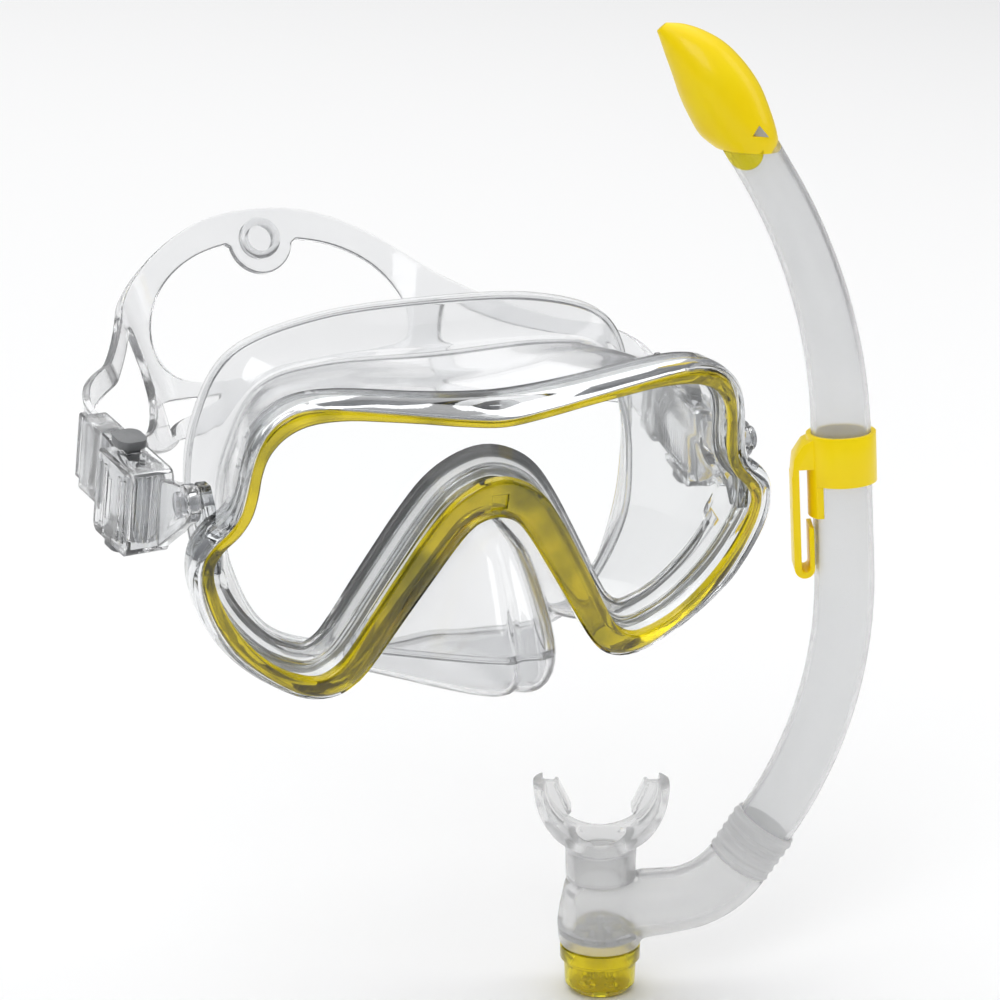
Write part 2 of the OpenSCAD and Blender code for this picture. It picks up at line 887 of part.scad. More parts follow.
lens();
frame();
trim_ring();
skirt();
pivot_pin(-1);  // pivot_pin_right
pivot_pin(1);  // pivot_pin_left
strap();
buckle_arm(-1);  // buckle_arm_right
buckle_arm(1);  // buckle_arm_left
buckle_housing(-1);  // buckle_housing_right
buckle_housing(1);  // buckle_housing_left
strap_keeper(-1);  // strap_keeper_right
strap_keeper(1);  // strap_keeper_left
strap_roller(-1);  // strap_roller_right
strap_roller(1);  // strap_roller_left
release_button(-1, 1);  // release_button_right_upper
release_button(-1, -1);  // release_button_right_lower
release_button(1, 1);  // release_button_left_upper
release_button(1, -1);  // release_button_left_lower
snorkel_keeper();
snorkel_tube();
splash_cap();
ribbed_cuff();
elbow();
mouthpiece();
purge_seat();
purge_flap();
purge_cap();
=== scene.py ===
import json
import math

import bmesh
import bpy
from mathutils import Matrix, Vector


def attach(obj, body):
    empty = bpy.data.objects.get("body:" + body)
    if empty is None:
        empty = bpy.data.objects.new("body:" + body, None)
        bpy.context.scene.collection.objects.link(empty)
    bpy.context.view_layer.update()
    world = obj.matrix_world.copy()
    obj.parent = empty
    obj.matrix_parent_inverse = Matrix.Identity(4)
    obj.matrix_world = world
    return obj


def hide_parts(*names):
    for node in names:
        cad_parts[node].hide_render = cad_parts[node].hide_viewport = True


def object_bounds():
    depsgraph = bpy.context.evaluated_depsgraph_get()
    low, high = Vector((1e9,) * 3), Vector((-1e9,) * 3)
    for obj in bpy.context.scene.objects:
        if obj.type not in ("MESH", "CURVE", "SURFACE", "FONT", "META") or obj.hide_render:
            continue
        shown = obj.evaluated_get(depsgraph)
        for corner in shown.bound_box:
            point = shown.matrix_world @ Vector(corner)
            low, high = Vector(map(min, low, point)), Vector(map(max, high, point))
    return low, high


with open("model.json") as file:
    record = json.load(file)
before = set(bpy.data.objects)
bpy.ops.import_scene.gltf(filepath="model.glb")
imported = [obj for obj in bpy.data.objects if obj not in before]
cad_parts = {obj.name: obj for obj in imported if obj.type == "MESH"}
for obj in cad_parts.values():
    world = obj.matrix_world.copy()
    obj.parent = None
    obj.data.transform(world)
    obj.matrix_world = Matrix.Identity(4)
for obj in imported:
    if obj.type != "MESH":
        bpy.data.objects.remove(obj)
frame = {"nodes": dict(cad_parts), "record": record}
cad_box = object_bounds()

MM = 0.001


# ---------- camera, light and floor ----------

def add_camera():
    """Camera a little to the side of the mask's front and a little above it."""
    turn, rise, distance = math.radians(25), math.radians(15.2), 900 * MM
    target = Vector((1.4, -54.3, 9.5)) * MM
    back = Vector((-math.sin(turn) * math.cos(rise), -math.cos(turn) * math.cos(rise), math.sin(rise)))
    data = bpy.data.cameras.new("camera")
    data.lens = 117.9
    data.sensor_width = 36
    data.clip_start = 0.01
    cam = bpy.data.objects.new("camera", data)
    bpy.context.scene.collection.objects.link(cam)
    cam.location = target + distance * back
    cam.rotation_euler = back.to_track_quat("Z", "Y").to_euler()
    bpy.context.scene.camera = cam


def add_softbox(name, place, aim, size, power):
    """Rectangular light in metres and watts, turned from its place to its aim."""
    data = bpy.data.lights.new(name, "AREA")
    data.shape = "RECTANGLE"
    data.size, data.size_y = size
    data.energy = power
    lamp = bpy.data.objects.new(name, data)
    bpy.context.scene.collection.objects.link(lamp)
    lamp.location = place
    lamp.rotation_euler = (Vector(place) - Vector(aim)).to_track_quat("Z", "Y").to_euler()


def add_studio():
    """White surroundings, grey toward the horizon, with two softboxes and a wide light over the floor."""
    world = bpy.data.worlds.new("studio")
    bpy.context.scene.world = world
    world.use_nodes = True
    nodes, links = world.node_tree.nodes, world.node_tree.links
    coords = nodes.new("ShaderNodeTexCoord")
    split = nodes.new("ShaderNodeSeparateXYZ")
    ramp = nodes.new("ShaderNodeValToRGB")
    links.new(coords.outputs["Generated"], split.inputs[0])
    links.new(split.outputs["Z"], ramp.inputs["Fac"])
    links.new(ramp.outputs["Color"], nodes["Background"].inputs["Color"])
    stops = ramp.color_ramp.elements
    stops[0].position, stops[0].color = 0.0, (0.26, 0.26, 0.27, 1)
    stops[1].position, stops[1].color = 0.8, (1, 1, 1, 1)
    middle = stops.new(0.3)
    middle.color = (0.36, 0.37, 0.39, 1)
    nodes["Background"].inputs["Strength"].default_value = 0.6
    add_softbox("key", (-1.1, -1.5, 1.7), (0, 0, 0), (1.4, 1.4), 20)
    add_softbox("side", (1.9, -0.5, 1.1), (0, 0, 0), (0.8, 1.6), 7)
    add_softbox("overhead", (0, 2.2, 2.8), (0, 2.2, 0), (4.5, 5.5), 84)
    bpy.context.scene.view_settings.view_transform = "Standard"
    bpy.context.scene.view_settings.look = "None"
    bpy.context.scene.cycles.max_bounces = 24
    bpy.context.scene.cycles.transmission_bounces = 20
    bpy.context.scene.cycles.transparent_max_bounces = 20


def add_floor():
    """White floor just under the lowest point of the object."""
    bpy.ops.mesh.primitive_plane_add(size=16, location=(0, 3, cad_box[0][2] - 0.6 * MM))
    floor = bpy.context.object
    floor.name = "floor"
    mat, shader = new_material("floor_paint")
    tree = mat.node_tree
    noise = tree.nodes.new("ShaderNodeTexNoise")
    noise.inputs["Scale"].default_value = 3
    mix = colour_mix(tree, noise.outputs["Fac"], (0.93, 0.93, 0.93), (0.96, 0.96, 0.96))
    tree.links.new(mix, shader.inputs["Base Color"])
    shader.inputs["Roughness"].default_value = 0.9
    shader.inputs["Specular IOR Level"].default_value = 0.1
    floor.data.materials.append(mat)


# ---------- materials ----------

MIX_FACTOR, MIX_A, MIX_B, MIX_RESULT = 0, 6, 7, 2


def new_material(name):
    """Material with its main shader."""
    mat = bpy.data.materials.new(name)
    mat.use_nodes = True
    return mat, mat.node_tree.nodes["Principled BSDF"]


def colour_mix(tree, factor, low, high):
    """Colour between two, by a socket from 0 to 1."""
    mix = tree.nodes.new("ShaderNodeMix")
    mix.data_type = "RGBA"
    mix.inputs[MIX_A].default_value = (*low, 1)
    mix.inputs[MIX_B].default_value = (*high, 1)
    tree.links.new(factor, mix.inputs[MIX_FACTOR])
    return mix.outputs[MIX_RESULT]


def value_range(tree, factor, low, high):
    """The middle of a noise's range, spread from low to high."""
    node = tree.nodes.new("ShaderNodeMapRange")
    node.inputs["From Min"].default_value = 0.3
    node.inputs["From Max"].default_value = 0.7
    node.inputs["To Min"].default_value = low
    node.inputs["To Max"].default_value = high
    tree.links.new(factor, node.inputs["Value"])
    return node.outputs["Result"]


def moulded(name, low, high, rough, clear=0.0, ior=1.45, grain=900.0, bump=0.02, coat=0.0, painted_reflection_colour=None):
    """Moulded plastic or silicone: cloudy colour between two, uneven roughness and a faint surface grain."""
    mat, shader = new_material(name)
    tree = mat.node_tree
    place = tree.nodes.new("ShaderNodeTexCoord").outputs["Object"]
    clouds = tree.nodes.new("ShaderNodeTexNoise")
    clouds.inputs["Scale"].default_value = 60
    clouds.inputs["Detail"].default_value = 3
    tree.links.new(place, clouds.inputs["Vector"])
    fine = tree.nodes.new("ShaderNodeTexNoise")
    fine.inputs["Scale"].default_value = grain
    fine.inputs["Detail"].default_value = 2
    tree.links.new(place, fine.inputs["Vector"])
    colour = colour_mix(tree, clouds.outputs["Fac"], low, high)
    # painted dark reflections, mixed into the base colour in soft patches
    if painted_reflection_colour:
        colour = painted_dark_reflections(tree, place, colour, painted_reflection_colour)
    tree.links.new(colour, shader.inputs["Base Color"])
    tree.links.new(value_range(tree, fine.outputs["Fac"], *rough), shader.inputs["Roughness"])
    raised = tree.nodes.new("ShaderNodeBump")
    raised.inputs["Strength"].default_value = bump
    raised.inputs["Distance"].default_value = 0.0004
    tree.links.new(fine.outputs["Fac"], raised.inputs["Height"])
    tree.links.new(raised.outputs["Normal"], shader.inputs["Normal"])
    shader.inputs["IOR"].default_value = ior
    shader.inputs["Transmission Weight"].default_value = clear
    if coat:
        shader.inputs["Coat Weight"].default_value = coat
        shader.inputs["Coat Roughness"].default_value = 0.04
    return mat


def painted_dark_reflections(tree, place, colour, painted_reflection_colour):
    """Painted dark reflections: deeper colour in soft patches, standing in for the dark reflections along the
    band.
    """
    patches = tree.nodes.new("ShaderNodeTexNoise")
    patches.inputs["Scale"].default_value = 48
    patches.inputs["Detail"].default_value = 1.5
    tree.links.new(place, patches.inputs["Vector"])
    where = tree.nodes.new("ShaderNodeMapRange")
    where.inputs["From Min"].default_value = 0.5
    where.inputs["From Max"].default_value = 0.66
    tree.links.new(patches.outputs["Fac"], where.inputs["Value"])
    mix = tree.nodes.new("ShaderNodeMix")
    mix.data_type = "RGBA"
    mix.inputs[MIX_B].default_value = (*painted_reflection_colour, 1)
    tree.links.new(where.outputs["Result"], mix.inputs[MIX_FACTOR])
    tree.links.new(colour, mix.inputs[MIX_A])
    return mix.outputs[MIX_RESULT]


FINISH = {
    "lens": moulded("lens_glass", (0.985, 0.992, 0.99), (0.995, 1, 0.998), (0.0, 0.01),
                    clear=1.0, ior=1.1, bump=0.0),
    "clear_frame": moulded("clear_polycarbonate", (0.86, 0.875, 0.885), (0.91, 0.92, 0.93), (0.01, 0.04),
                           clear=1.0, ior=1.56, bump=0.01),
    # amber trim: the dark olive colour is painted dark reflections, laid in soft patches
    "amber_trim": moulded("amber_polycarbonate", (0.62, 0.46, 0.0), (0.72, 0.58, 0.003), (0.01, 0.04),
                          clear=1.0, ior=1.56, bump=0.01, painted_reflection_colour=(0.30, 0.25, 0.0)),
    "clear_silicone": moulded("clear_skirt_silicone", (0.92, 0.925, 0.935), (0.965, 0.97, 0.975),
                              (0.03, 0.08), clear=0.9, ior=1.4, grain=300, bump=0.0),
    "strap_silicone": moulded("clear_strap_silicone", (0.90, 0.905, 0.915), (0.95, 0.955, 0.96), (0.04, 0.1),
                              clear=0.92, ior=1.4, grain=300, bump=0.0),
    "buckle_clear": moulded("clear_buckle_plastic", (0.88, 0.89, 0.9), (0.94, 0.945, 0.95), (0.02, 0.07),
                            clear=0.96, ior=1.5),
    "keeper_sleeve": moulded("clear_sleeve_plastic", (0.92, 0.925, 0.93), (0.96, 0.965, 0.97), (0.08, 0.16),
                             clear=0.85, ior=1.42, grain=300, bump=0.0),
    "smoke_plastic": moulded("smoke_plastic", (0.68, 0.69, 0.71), (0.78, 0.79, 0.81), (0.08, 0.16),
                             clear=0.85, ior=1.47),
    "button_grey": moulded("button_plastic", (0.12, 0.125, 0.13), (0.2, 0.205, 0.21), (0.3, 0.42),
                           ior=1.47, bump=0.08),
    "yellow_plastic": moulded("yellow_plastic", (1.0, 0.70, 0.0), (1.0, 0.79, 0.002), (0.3, 0.4),
                              ior=1.3, grain=300, bump=0.0, coat=0.15),
    "frosted_tube": moulded("frosted_tube_plastic", (0.95, 0.955, 0.96), (0.98, 0.982, 0.985), (0.12, 0.2),
                            clear=0.8, ior=1.3, grain=300, bump=0.0),
    "white_silicone": moulded("milky_silicone", (0.94, 0.942, 0.945), (0.98, 0.98, 0.98), (0.3, 0.42),
                              clear=0.6, ior=1.3, grain=300, bump=0.0),
    "frosted_silicone": moulded("frosted_silicone", (0.97, 0.972, 0.975), (0.99, 0.99, 0.99), (0.18, 0.26),
                                clear=0.75, ior=1.28, grain=300, bump=0.0),
    "flap_silicone": moulded("flap_silicone", (0.9, 0.91, 0.92), (0.95, 0.955, 0.96), (0.15, 0.25),
                             clear=0.6, ior=1.4),
    "yellow_clear": moulded("clear_yellow_plastic", (1.0, 0.84, 0.01), (1.0, 0.92, 0.03), (0.04, 0.1),
                            clear=0.85, ior=1.4, grain=300, bump=0.0),
}


# ---------- helpers ----------

def from_rows(name, rows, close_rows=False, caps=False):
    """Mesh object from rows of points in millimetres, each row a closed ring."""
    count = len(rows[0])
    verts = [tuple(c * MM for c in p) for row in rows for p in row]
    faces = []
    last = len(rows) if close_rows else len(rows) - 1
    for i in range(last):
        a, b = i * count, ((i + 1) % len(rows)) * count
        for j in range(count):
            k = (j + 1) % count
            faces.append((a + j, a + k, b + k, b + j))
    if caps:
        faces.append(tuple(range(count))[::-1])
        faces.append(tuple((len(rows) - 1) * count + j for j in range(count)))
    mesh = bpy.data.meshes.new(name)
    mesh.from_pydata(verts, [], faces)
    obj = bpy.data.objects.new(name, mesh)
    bpy.context.scene.collection.objects.link(obj)
    return obj


def pick(obj):
    """Makes an object the only selected and the active one."""
    bpy.ops.object.select_all(action="DESELECT")
    obj.select_set(True)
    bpy.context.view_layer.objects.active = obj


def outward(obj):
    """Turns every face of a closed mesh outward."""
    pick(obj)
    bpy.ops.object.mode_set(mode="EDIT")
    bpy.ops.mesh.select_all(action="SELECT")
    bpy.ops.mesh.normals_make_consistent(inside=False)
    bpy.ops.object.mode_set(mode="OBJECT")


def add_modifier(obj, kind, **settings):
    """Adds a modifier and applies it."""
    pick(obj)
    mod = obj.modifiers.new(kind.lower(), kind)
    for key, value in settings.items():
        setattr(mod, key, value)
    bpy.ops.object.modifier_apply(modifier=mod.name)


def cut_away(obj, rows):
    """Takes the block given by its end outlines out of a piece."""
    cutter = from_rows("cutter", rows, caps=True)
    outward(cutter)
    add_modifier(obj, "BOOLEAN", operation="DIFFERENCE", object=cutter, solver="EXACT")
    bpy.data.objects.remove(cutter)


def finish_piece(obj, body, slot, *nodes, smooth=None):
    """Shades a piece, gives it its finish and its body, and hides the CAD nodes that it stands for."""
    pick(obj)
    if smooth is None:
        bpy.ops.object.shade_smooth()
    else:
        bpy.ops.object.shade_smooth_by_angle(angle=math.radians(smooth))
    obj.data.materials.clear()
    obj.data.materials.append(FINISH[slot])
    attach(obj, body)
    if nodes:
        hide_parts(*nodes)
    return obj


def node_copy(node, name):
    """Welded copy of a CAD node, so that its edges can be rounded."""
    obj = bpy.data.objects.new(name, frame["nodes"][node].data.copy())
    bpy.context.scene.collection.objects.link(obj)
    obj.data.materials.clear()
    pick(obj)
    bpy.ops.object.mode_set(mode="EDIT")
    bpy.ops.mesh.select_all(action="SELECT")
    bpy.ops.mesh.remove_doubles(threshold=0.000002)
    bpy.ops.mesh.dissolve_limited(angle_limit=math.radians(0.4))
    bpy.ops.object.mode_set(mode="OBJECT")
    if "custom_normal" in obj.data.attributes:
        obj.data.attributes.remove(obj.data.attributes["custom_normal"])
    return obj


BODY_OF = {n: b for b, ns in frame["record"]["behaviour"]["bodies"].items() for n in ns}
SLOT_OF = {s["node"]: s["material_slot"] for s in frame["record"]["subparts"]}


def rounded_node(node, width, segments=2):
    """Hard moulded node with its sharp edges rounded."""
    obj = node_copy(node, node + "_moulded")
    add_modifier(obj, "BEVEL", width=width * MM, segments=segments, limit_method="ANGLE",
                 angle_limit=math.radians(35), use_clamp_overlap=True, miter_outer="MITER_ARC")
    return finish_piece(obj, BODY_OF[node], SLOT_OF[node], node, smooth=32)


def soft_node(node, voxel, rounds, factor=0.6):
    """Soft moulded node with every edge and join melted together."""
    obj = node_copy(node, node + "_moulded")
    add_modifier(obj, "REMESH", mode="VOXEL", voxel_size=voxel * MM, adaptivity=0)
    add_modifier(obj, "SMOOTH", factor=factor, iterations=rounds)
    return finish_piece(obj, BODY_OF[node], SLOT_OF[node], node)


def curve_point(p0, p1, p2, p3, t):
    """Point at t between p1 and p2 on the smooth curve through four points."""
    point = []
    for a, b, c, d in zip(p0, p1, p2, p3):
        bend, twist = 2 * a - 5 * b + 4 * c - d, 3 * b - a - 3 * c + d
        point.append(0.5 * (2 * b + (c - a) * t + bend * t * t + twist * t ** 3))
    return point


def smooth_loop(points, steps):
    """Smooth closed curve through the points, with steps points in each span."""
    n = len(points)
    return [curve_point(points[i - 1], points[i], points[(i + 1) % n], points[(i + 2) % n], k / steps)
            for i in range(n) for k in range(steps)]


def smooth_line(points, steps):
    """Smooth open curve through the points, with steps points in each span."""
    last = len(points) - 1
    spans = [(points[max(i - 1, 0)], points[i], points[i + 1], points[min(i + 2, last)]) for i in range(last)]
    return [curve_point(*span, k / steps) for span in spans for k in range(steps)] + [list(points[-1])]


def smooth_rows(rows, steps):
    """Rows of points with more rows, as many as steps says, smoothly put in between."""
    lines = [smooth_line(line, steps) for line in zip(*rows)]
    return [list(row) for row in zip(*lines)]


def flip(p):
    return [-p[0], *p[1:]]


def closed_outline(half, steps):
    """Smooth closed outline from one half, the same on both sides of the middle."""
    return smooth_loop([list(p) for p in half] + [flip(p) for p in half[-2:0:-1]], steps)


def grown(outline, amount):
    """Outline moved outward by amount, one value or one per point."""
    n = len(outline)
    out = []
    for i in range(n):
        a, b = outline[i - 1], outline[(i + 1) % n]
        tx, ty = b[0] - a[0], b[1] - a[1]
        size = math.hypot(tx, ty)
        d = amount[i] if isinstance(amount, list) else amount
        out.append([outline[i][0] + d * ty / size, outline[i][1] - d * tx / size])
    return out


LENS_FRONT = 52
LENS_TILT = math.radians(13.5)


def on_lens(p, z):
    """Point of the leaning lens plane: p across and up its face, z out of it to the front."""
    s, c = math.sin(LENS_TILT), math.cos(LENS_TILT)
    return [p[0], -LENS_FRONT - p[1] * s - z * c, p[1] * c - z * s]


# ---------- mask outlines ----------

OPENING_HALF = [
    (0, 17.3), (7.5, 15.3), (14.3, 10.3), (20.7, 1.5), (27, -9), (33, -19.5), (38.3, -29), (42.7, -35.3),
    (48.5, -38.5), (55, -37), (62, -33), (69, -26.5), (75, -18.5), (79.8, -9), (81.8, -1), (79.8, 4.2),
    (75, 9), (72, 14), (70.6, 20), (69.8, 27), (67.8, 33), (63.5, 37.7), (57, 40), (47, 39.9), (36, 38.3),
    (24, 36.3), (12, 34.1), (0, 32.7)]
FRAME_HALF = [
    (0, 5.5), (6.5, 3.3), (12, -3.5), (17.5, -12), (23, -20.5), (29, -30), (35, -39.3), (39.8, -44.3),
    (46, -46.3), (53, -44.8), (60, -40.9), (66.5, -36.6), (73, -31.1), (78.5, -25.2), (83.2, -18),
    (86.6, -10), (88.3, -2), (87.8, 5), (85.5, 9.3), (81, 12.3), (77.8, 15), (76, 20), (75.2, 26),
    (74, 33), (71.3, 39.5), (66.8, 43.8), (60.5, 46.4), (52, 47), (40, 45.8), (28, 43.9), (14, 42.2),
    (0, 41.4)]
TRIM_HALF = [
    (0, 5.7), (6.5, 3.5), (12, -3.3), (17.5, -11.8), (23, -20.3), (29, -29.8), (35, -39.1), (39.8, -44.1),
    (46, -45.9), (53, -43.9), (60, -39.6), (67, -34.2), (74, -27.2), (79.3, -19), (83.5, -9), (85.2, -1),
    (84, 5), (79, 9), (75.3, 14), (73.9, 20), (73.1, 26), (71.8, 33), (69, 39.3), (64.8, 43.2),
    (58, 44.4), (48, 42.9), (36, 40.7), (24, 38.4), (12, 36.2), (0, 34.7)]

RING = 330


def even(outline, count=RING):
    """The outline as count points, evenly spaced by length from the middle of the nose arch."""
    n = len(outline)
    lengths = [0]
    for i in range(n):
        a, b = outline[i], outline[(i + 1) % n]
        lengths.append(lengths[-1] + math.dist(a, b))
    out, k = [], 0
    for i in range(count):
        want = lengths[-1] * i / count
        while lengths[k + 1] < want:
            k += 1
        t = (want - lengths[k]) / (lengths[k + 1] - lengths[k])
        a, b = outline[k], outline[(k + 1) % n]
        out.append([a[j] + t * (b[j] - a[j]) for j in range(len(a))])
    return out


opening = even(closed_outline(OPENING_HALF, 10))


def matched(outline):
    """For each point of the opening, the nearest point of another outline straight outward."""
    dense = even(outline, 2400)
    normals = grown(opening, 1)
    out = []
    for p, q in zip(opening, normals):
        nx, ny = q[0] - p[0], q[1] - p[1]
        best, score = None, 1e9
        for d in dense:
            vx, vy = d[0] - p[0], d[1] - p[1]
            along = vx * nx + vy * ny
            across = abs(vx * ny - vy * nx)
            if along > -1 and along < 30:
                s = across + 0.12 * along
                if s < score:
                    best, score = d, s
        out.append(best)
    for _ in range(6):
        out = [[(a[j] + 2 * b[j] + c[j]) / 4 for j in (0, 1)]
               for a, b, c in zip(out[-1:] + out, out, out[1:] + out)]
    return out


frame_edge = matched(closed_outline(FRAME_HALF, 10))
trim_edge = matched(closed_outline(TRIM_HALF, 10))


def between(a, b, t):
    """Outline part of the way, t, from one outline to another."""
    return [[p[j] + t * (q[j] - p[j]) for j in (0, 1)] for p, q in zip(a, b)]


def widths(a, b):
    return [math.dist(p, q) for p, q in zip(a, b)]


# ---------- lens, frame and trim ----------

LENS_LIP, LENS_BEVEL, LENS_BACK = 2.4, 0.4, -3.5


def make_lens():
    """Flat pane with bevelled edges, held by a lip all round the opening."""
    outer = grown(opening, LENS_LIP)
    bevel = grown(opening, LENS_LIP - LENS_BEVEL)
    inner = grown(opening, -1.5)
    rows = []
    for ring, z in ((inner, LENS_BACK), (bevel, LENS_BACK), (outer, LENS_BACK + LENS_BEVEL),
                    (outer, -LENS_BEVEL), (bevel, 0), (inner, 0)):
        rows.append([on_lens(p, z) for p in ring])
    lens = from_rows("lens_pane", rows, caps=True)
    outward(lens)
    finish_piece(lens, "mask", "lens", "lens", smooth=25)


def make_frame():
    """Clear frame: rounded rim outside the trim, a step for the trim and the lens, a flange behind."""
    trim_out = grown(trim_edge, 0.25)
    rim = widths(trim_out, frame_edge)
    lens_seat = grown(opening, LENS_LIP + 0.25)
    seat_back, frame_back = -5.9, -8.2
    rim_top, narrow_rim = 1.8, 2.5

    def crown(t, drop):
        """Ring across the rim's front, where a narrow stretch is crowned less."""
        ring = between(trim_out, frame_edge, t)
        return [on_lens(p, rim_top - drop * (1 if w > narrow_rim else 0.4)) for p, w in zip(ring, rim)]

    def level(ring, z):
        return [on_lens(p, z) for p in ring]

    rows = [level(grown(opening, -0.3), seat_back), level(lens_seat, seat_back), level(lens_seat, -0.05),
            level(trim_out, -0.05), level(trim_out, 1.2)]
    for t, drop in ((0.1, 0.0), (0.32, -0.55), (0.55, -0.5), (0.78, 0.2), (0.93, 0.9)):
        rows.append(crown(t, drop))
    for inward, z in ((0, -0.4), (0, -2.4), (0.7, -4.2), (1.0, -7.5), (1.6, frame_back)):
        rows.append(level(grown(frame_edge, -inward), z))
    rows += [level(grown(opening, 0.3), frame_back), level(grown(opening, -0.3), frame_back + 0.4)]
    obj = from_rows("clear_rim", rows, close_rows=True)
    outward(obj)
    return finish_piece(obj, "mask", "clear_frame", "frame", smooth=40)


EAR_SIDES = (78.6, 82.0)
EAR_OUTLINE = [(-50, -3), (-44.4, -3), (-38, 9), (-36.2, 14), (-39.5, 20.5), (-43.5, 20.2), (-46, 16.5),
               (-50.6, 10)]


def make_lugs():
    """The ears behind the frame that hold the buckle pins."""
    for side in (-1, 1):
        rows = [[[side * x, y, z] for y, z in EAR_OUTLINE] for x in EAR_SIDES]
        obj = from_rows(f"pin_ear_{'left' if side > 0 else 'right'}", rows, caps=True)
        outward(obj)
        add_modifier(obj, "BEVEL", width=0.6 * MM, segments=3, limit_method="ANGLE",
                     angle_limit=math.radians(20), use_clamp_overlap=True)
        finish_piece(obj, "mask", "clear_frame", smooth=35)


TRIM_LOW, TRIM_HIGH, TRIM_FOOT = 1.3, 3.2, 0.12
TRIM_SECTION = [(0.0, 0.05), (0.0, 0.7), (0.06, 0.88), (0.2, 0.98), (0.45, 1.0), (0.72, 0.94), (0.9, 0.75),
                (0.985, 0.47), (1.0, 0.2), (1.0, 0.05)]


def make_trim():
    """Amber band: low where it is narrow, tall and crowned where it is wide, with a flat on the nose."""
    heights = [max(TRIM_LOW, min(TRIM_HIGH, 0.55 * w)) for w in widths(opening, trim_edge)]
    for _ in range(8):
        heights = [(heights[i - 1] + 2 * heights[i] + heights[(i + 1) % RING]) / 4 for i in range(RING)]
    rows = []
    for across, share in TRIM_SECTION:
        ring = between(opening, trim_edge, across)
        rows.append([on_lens(p, max(TRIM_FOOT, share * h)) for p, h in zip(ring, heights)])
    obj = from_rows("trim_band", rows, close_rows=True)
    outward(obj)
    half, low, high = 2.5, 8.4, 13.0
    flat, over = 2.3, 6
    facet = [(-half, low), (half, low), (half, high), (-half, high)]
    cut_away(obj, [[on_lens(p, z) for p in facet] for z in (flat, over)])
    return finish_piece(obj, "mask", "amber_trim", "trim_ring", smooth=50)


# ---------- skirt ----------

SKIRT_ROWS = [
    [(0, -43.5, 6), (10.5, -39.5, -4), (33, -32, -31), (53, -30.5, -34), (71, -35, -16),
     (73.5, -38, 4), (67, -37, 21), (61, -36, 36.5), (35, -36, 40), (0, -36, 37.5)],
    [(0, -57, -3), (8.5, -55, -8), (30, -27, -33), (52, -21, -33), (66, -24, -15), (68.5, -25, 5),
     (65, -26, 22), (57, -25, 37), (35, -26, 41), (0, -26, 39)],
    [(0, -71, -31), (9.5, -69, -31), (31, -22, -37.5), (51, -10, -33), (62, -10, -14), (64, -10, 5),
     (61, -11, 22), (52, -13, 37.5), (33, -14, 42), (0, -15, 42)],
    [(0, -60, -42), (9.5, -57, -42.5), (35, -11, -42), (52, -3, -34), (63, -2, -14), (65, -2, 6),
     (62.5, -4, 24), (54, -8, 40.5), (33, -10, 45.5), (0, -10, 46.5)],
    [(0, -11, -41.5), (14, -9.5, -43), (40, -2, -45), (56, 1, -36.5), (66, 3, -15), (69, 3, 6),
     (67.5, 0, 27), (58, -4, 46), (34, -8, 55), (0, -9, 57)]]
SKIRT_STEPS = 12
SKIRT_COUNT = 2 * (len(SKIRT_ROWS[0]) - 1) * SKIRT_STEPS
SKIRT_THICK = 1.7


def skirt_opening():
    """Lens opening sampled three control points to each skirt station, so that the rows line up."""
    return closed_outline(OPENING_HALF, SKIRT_STEPS // 3)


def collar_inset(i):
    """Set-in of the collar from the lens edge: deep below the side notch, shallow above it."""
    deep, shallow = 4.2, 1.2
    notch_from, notch_to = 60, 76
    place = min(i, SKIRT_COUNT - i)
    if place < notch_from:
        return -deep
    if place < notch_to:
        return -deep + (deep - shallow) * (place - notch_from) / (notch_to - notch_from)
    return -shallow


def make_skirt():
    """Soft wall from behind the lens to the face, over the fold and out to the lip, with its two beads."""
    base = skirt_opening()
    collar = grown(base, [collar_inset(i) for i in range(len(base))])
    rows = [[on_lens(p, -12) for p in collar]] + [closed_outline(r, SKIRT_STEPS) for r in SKIRT_ROWS]
    front = [[on_lens(p, z) for p in grown(base, out)]
             for out, z in ((2.2, -5.75), (-0.9, -5.75), (-1.0, -7.2), (-1.1, -8.6))]
    obj = from_rows("face_skirt", front + smooth_rows(rows, 6))
    outward(obj)
    add_modifier(obj, "SOLIDIFY", thickness=SKIRT_THICK * MM, offset=-1, use_even_offset=False)
    finish_piece(obj, "mask", "clear_silicone", "skirt")
    fold, lip = rows[3], rows[-1]
    make_bead("skirt_lip_bead", lip, 1.25)
    make_bead("skirt_fold_bead", fold, 1.1)


def make_bead(name, ring, radius, sides=12):
    """Round bead moulded along a closed line of the skirt."""
    n = len(ring)
    rows = []
    for i in range(n):
        along = (Vector(ring[(i + 1) % n]) - Vector(ring[i - 1])).normalized()
        across = along.cross(Vector((0, 1, 0))).normalized()
        up = across.cross(along)
        turns = [2 * math.pi * k / sides for k in range(sides)]
        rows.append([Vector(ring[i]) + radius * (math.cos(a) * across + math.sin(a) * up) for a in turns])
    obj = from_rows(name, rows, close_rows=True)
    outward(obj)
    finish_piece(obj, "mask", "clear_silicone")


# ---------- strap ----------

